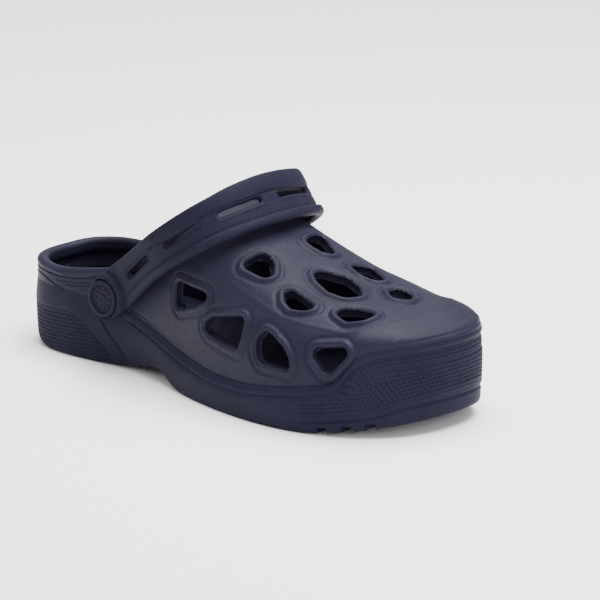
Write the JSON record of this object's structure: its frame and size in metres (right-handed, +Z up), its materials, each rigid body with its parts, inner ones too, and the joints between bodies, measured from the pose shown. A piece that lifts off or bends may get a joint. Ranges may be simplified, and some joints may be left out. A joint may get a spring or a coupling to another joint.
{
  "type": "rubber garden clog",
  "caption": "Slip-on moulded foam garden clog for the right foot, with a vented toe box, ribbed toe bumper, treaded sole and a swinging heel strap.",
  "frame": {"origin": "on the ground, under the middle of the bounding box", "axes": "+X from heel to toe, +Y toward the inner side of the foot, +Z up"},
  "size_m": [0.2895, 0.1123, 0.1166],
  "materials": {
    "body_foam": "matte navy closed-cell foam with a fine pebbled grain",
    "footbed_foam": "matte foam",
    "strap_foam": "matte foam with a soft sheen",
    "rivet_plastic": "satin moulded plastic"
  },
  "bodies": {
    "clog": {"clog_body": "body_foam", "footbed_insole": "footbed_foam", "rivet_cap_lateral": "rivet_plastic", "rivet_cap_medial": "rivet_plastic", "rivet_back_lateral": "rivet_plastic", "rivet_back_medial": "rivet_plastic"},
    "strap": {"heel_strap": "strap_foam"}
  },
  "joints": [
    {"name": "strap_swing", "type": "hinge", "parent": "clog", "child": "strap", "pos_m": [-0.06671, 0.00384, 0.041], "axis": [0, -1, 0], "range_deg": [0, 135]}
  ]
}
